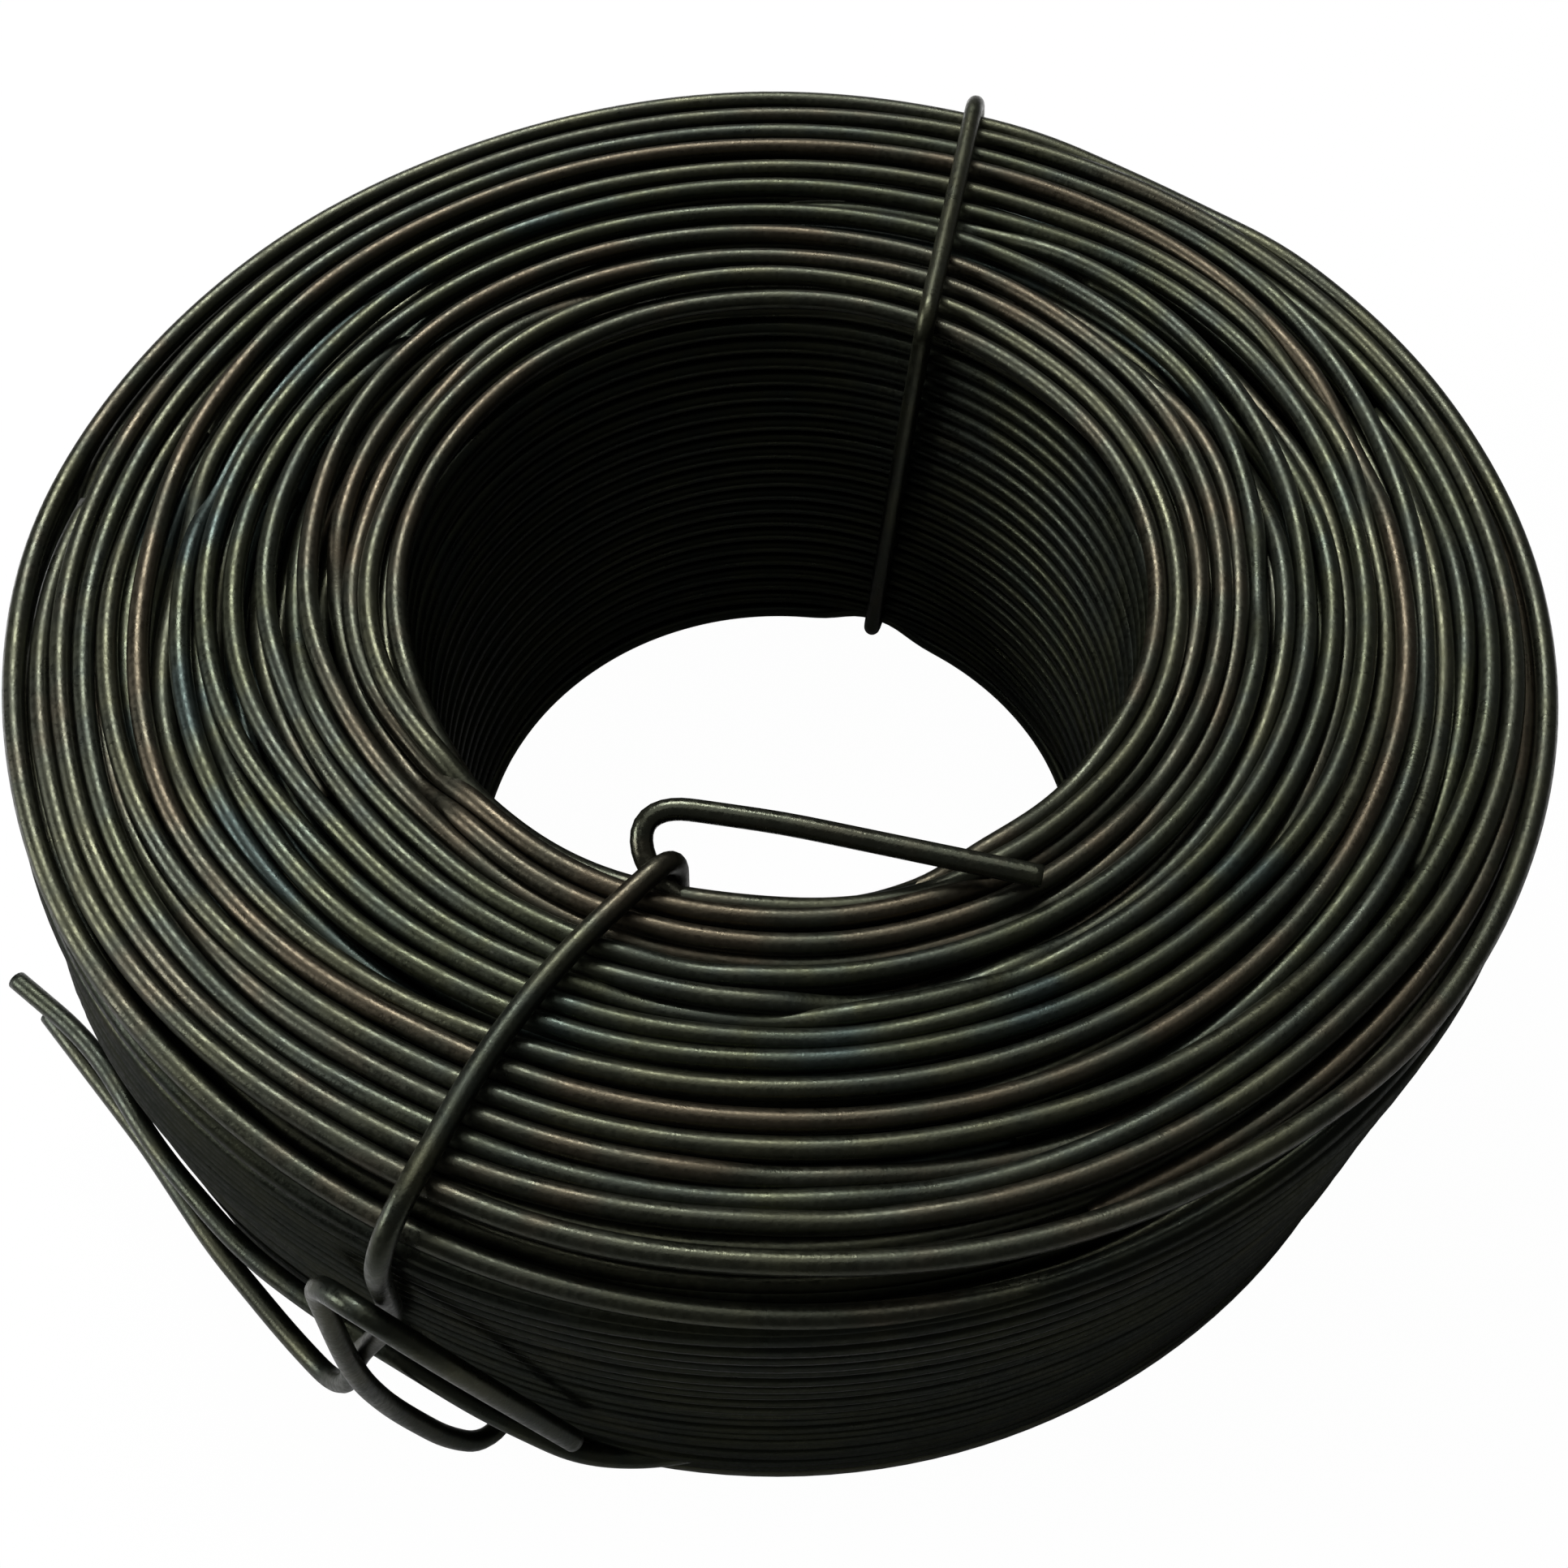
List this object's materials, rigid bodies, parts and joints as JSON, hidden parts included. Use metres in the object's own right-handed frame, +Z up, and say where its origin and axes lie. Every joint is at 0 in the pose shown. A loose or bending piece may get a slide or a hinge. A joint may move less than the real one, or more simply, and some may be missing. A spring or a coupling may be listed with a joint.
{
  "type": "coil of annealed tie wire",
  "caption": "Small flat coil of soft black annealed wire, bound at the back and front by two ties of the same wire.",
  "frame": {"origin": "on the coil's axis, in the plane of the face that it rests on", "axes": "+Z up along the coil's axis, -Y towards the front, where the knot of the front tie is a little to the left"},
  "size_m": [0.1223, 0.1229, 0.0455],
  "materials": {
    "annealed_wire": "satin"
  },
  "bodies": {
    "root": {"wire_coil": "annealed_wire", "back_tie": "annealed_wire", "front_tie": "annealed_wire"}
  },
  "joints": []
}
